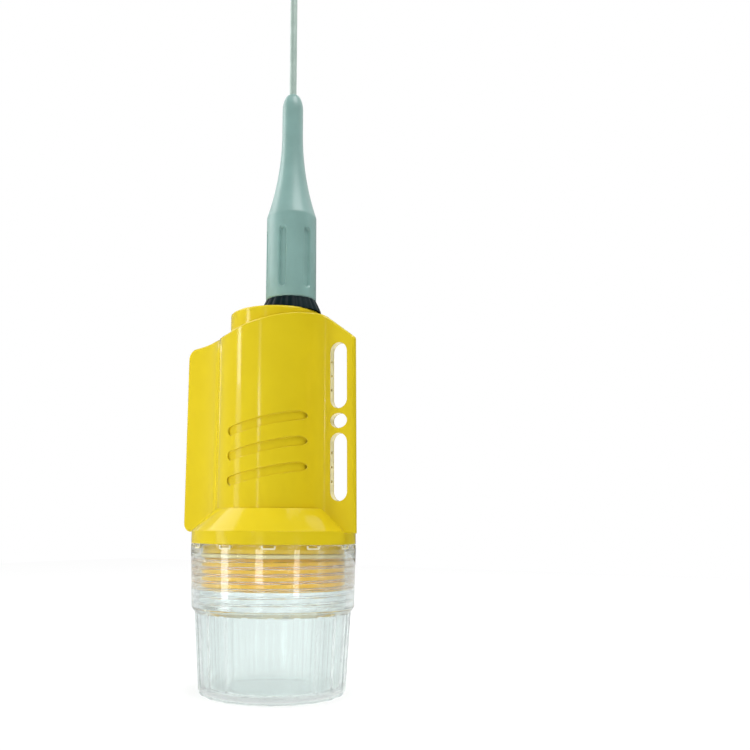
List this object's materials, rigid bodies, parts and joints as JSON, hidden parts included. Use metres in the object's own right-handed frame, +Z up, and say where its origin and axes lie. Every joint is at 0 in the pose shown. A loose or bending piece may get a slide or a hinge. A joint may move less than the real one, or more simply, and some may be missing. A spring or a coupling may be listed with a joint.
{
  "type": "ais net buoy",
  "caption": "Floating position beacon for fishing nets: yellow finned body with tie slots, whip antenna in a fluted boot, and a clear screw-on cup below.",
  "frame": {"origin": "centre of the clear cup's flat bottom", "axes": "+Z up along the cup's axis to the antenna, +X along the fin with the tie slots, fins in the XZ plane"},
  "size_m": [0.1204, 0.0952, 0.6778],
  "materials": {
    "clear_cup": "clear glossy polycarbonate",
    "seal_ring": "soft silicone",
    "yellow_jacket": "glossy moulded plastic",
    "yellow_housing": "glossy moulded plastic",
    "base_plate": "satin moulded plastic",
    "charge_socket": "matte plastic",
    "button_rubber": "moulded silicone",
    "lamp_lens": "translucent lens",
    "battery_wrap": "shrink wrap",
    "black_gasket": "satin rubber",
    "grey_boot": "matte moulded sleeve",
    "whip": "sleeved spring steel",
    "whip_cap": "moulded rubber"
  },
  "bodies": {
    "cup": {"clear_cup": "clear_cup"},
    "seal": {"seal_ring": "seal_ring"},
    "shell": {"fin_shell": "yellow_jacket", "inner_housing": "yellow_housing", "base_plate": "base_plate", "charge_socket": "charge_socket", "power_button": "button_rubber", "status_lamp": "lamp_lens", "battery_block": "battery_wrap", "antenna_gasket": "black_gasket", "antenna_boot": "grey_boot", "whip_rod": "whip", "whip_tip": "whip_cap"}
  },
  "joints": [
    {"name": "shell_rise", "type": "slide", "parent": "cup", "child": "seal", "axis": [0, 0, 1], "range_m": [0, 0.02575]},
    {"name": "shell_turn", "type": "hinge", "parent": "seal", "child": "shell", "pos_m": [0, 0, 0.0824], "axis": [0, 0, 1], "range_deg": [0, 2430]}
  ],
  "couplings": [
    {"joint": "shell_rise", "follows": "shell_turn", "m_per_rad": 0.00060479}
  ]
}
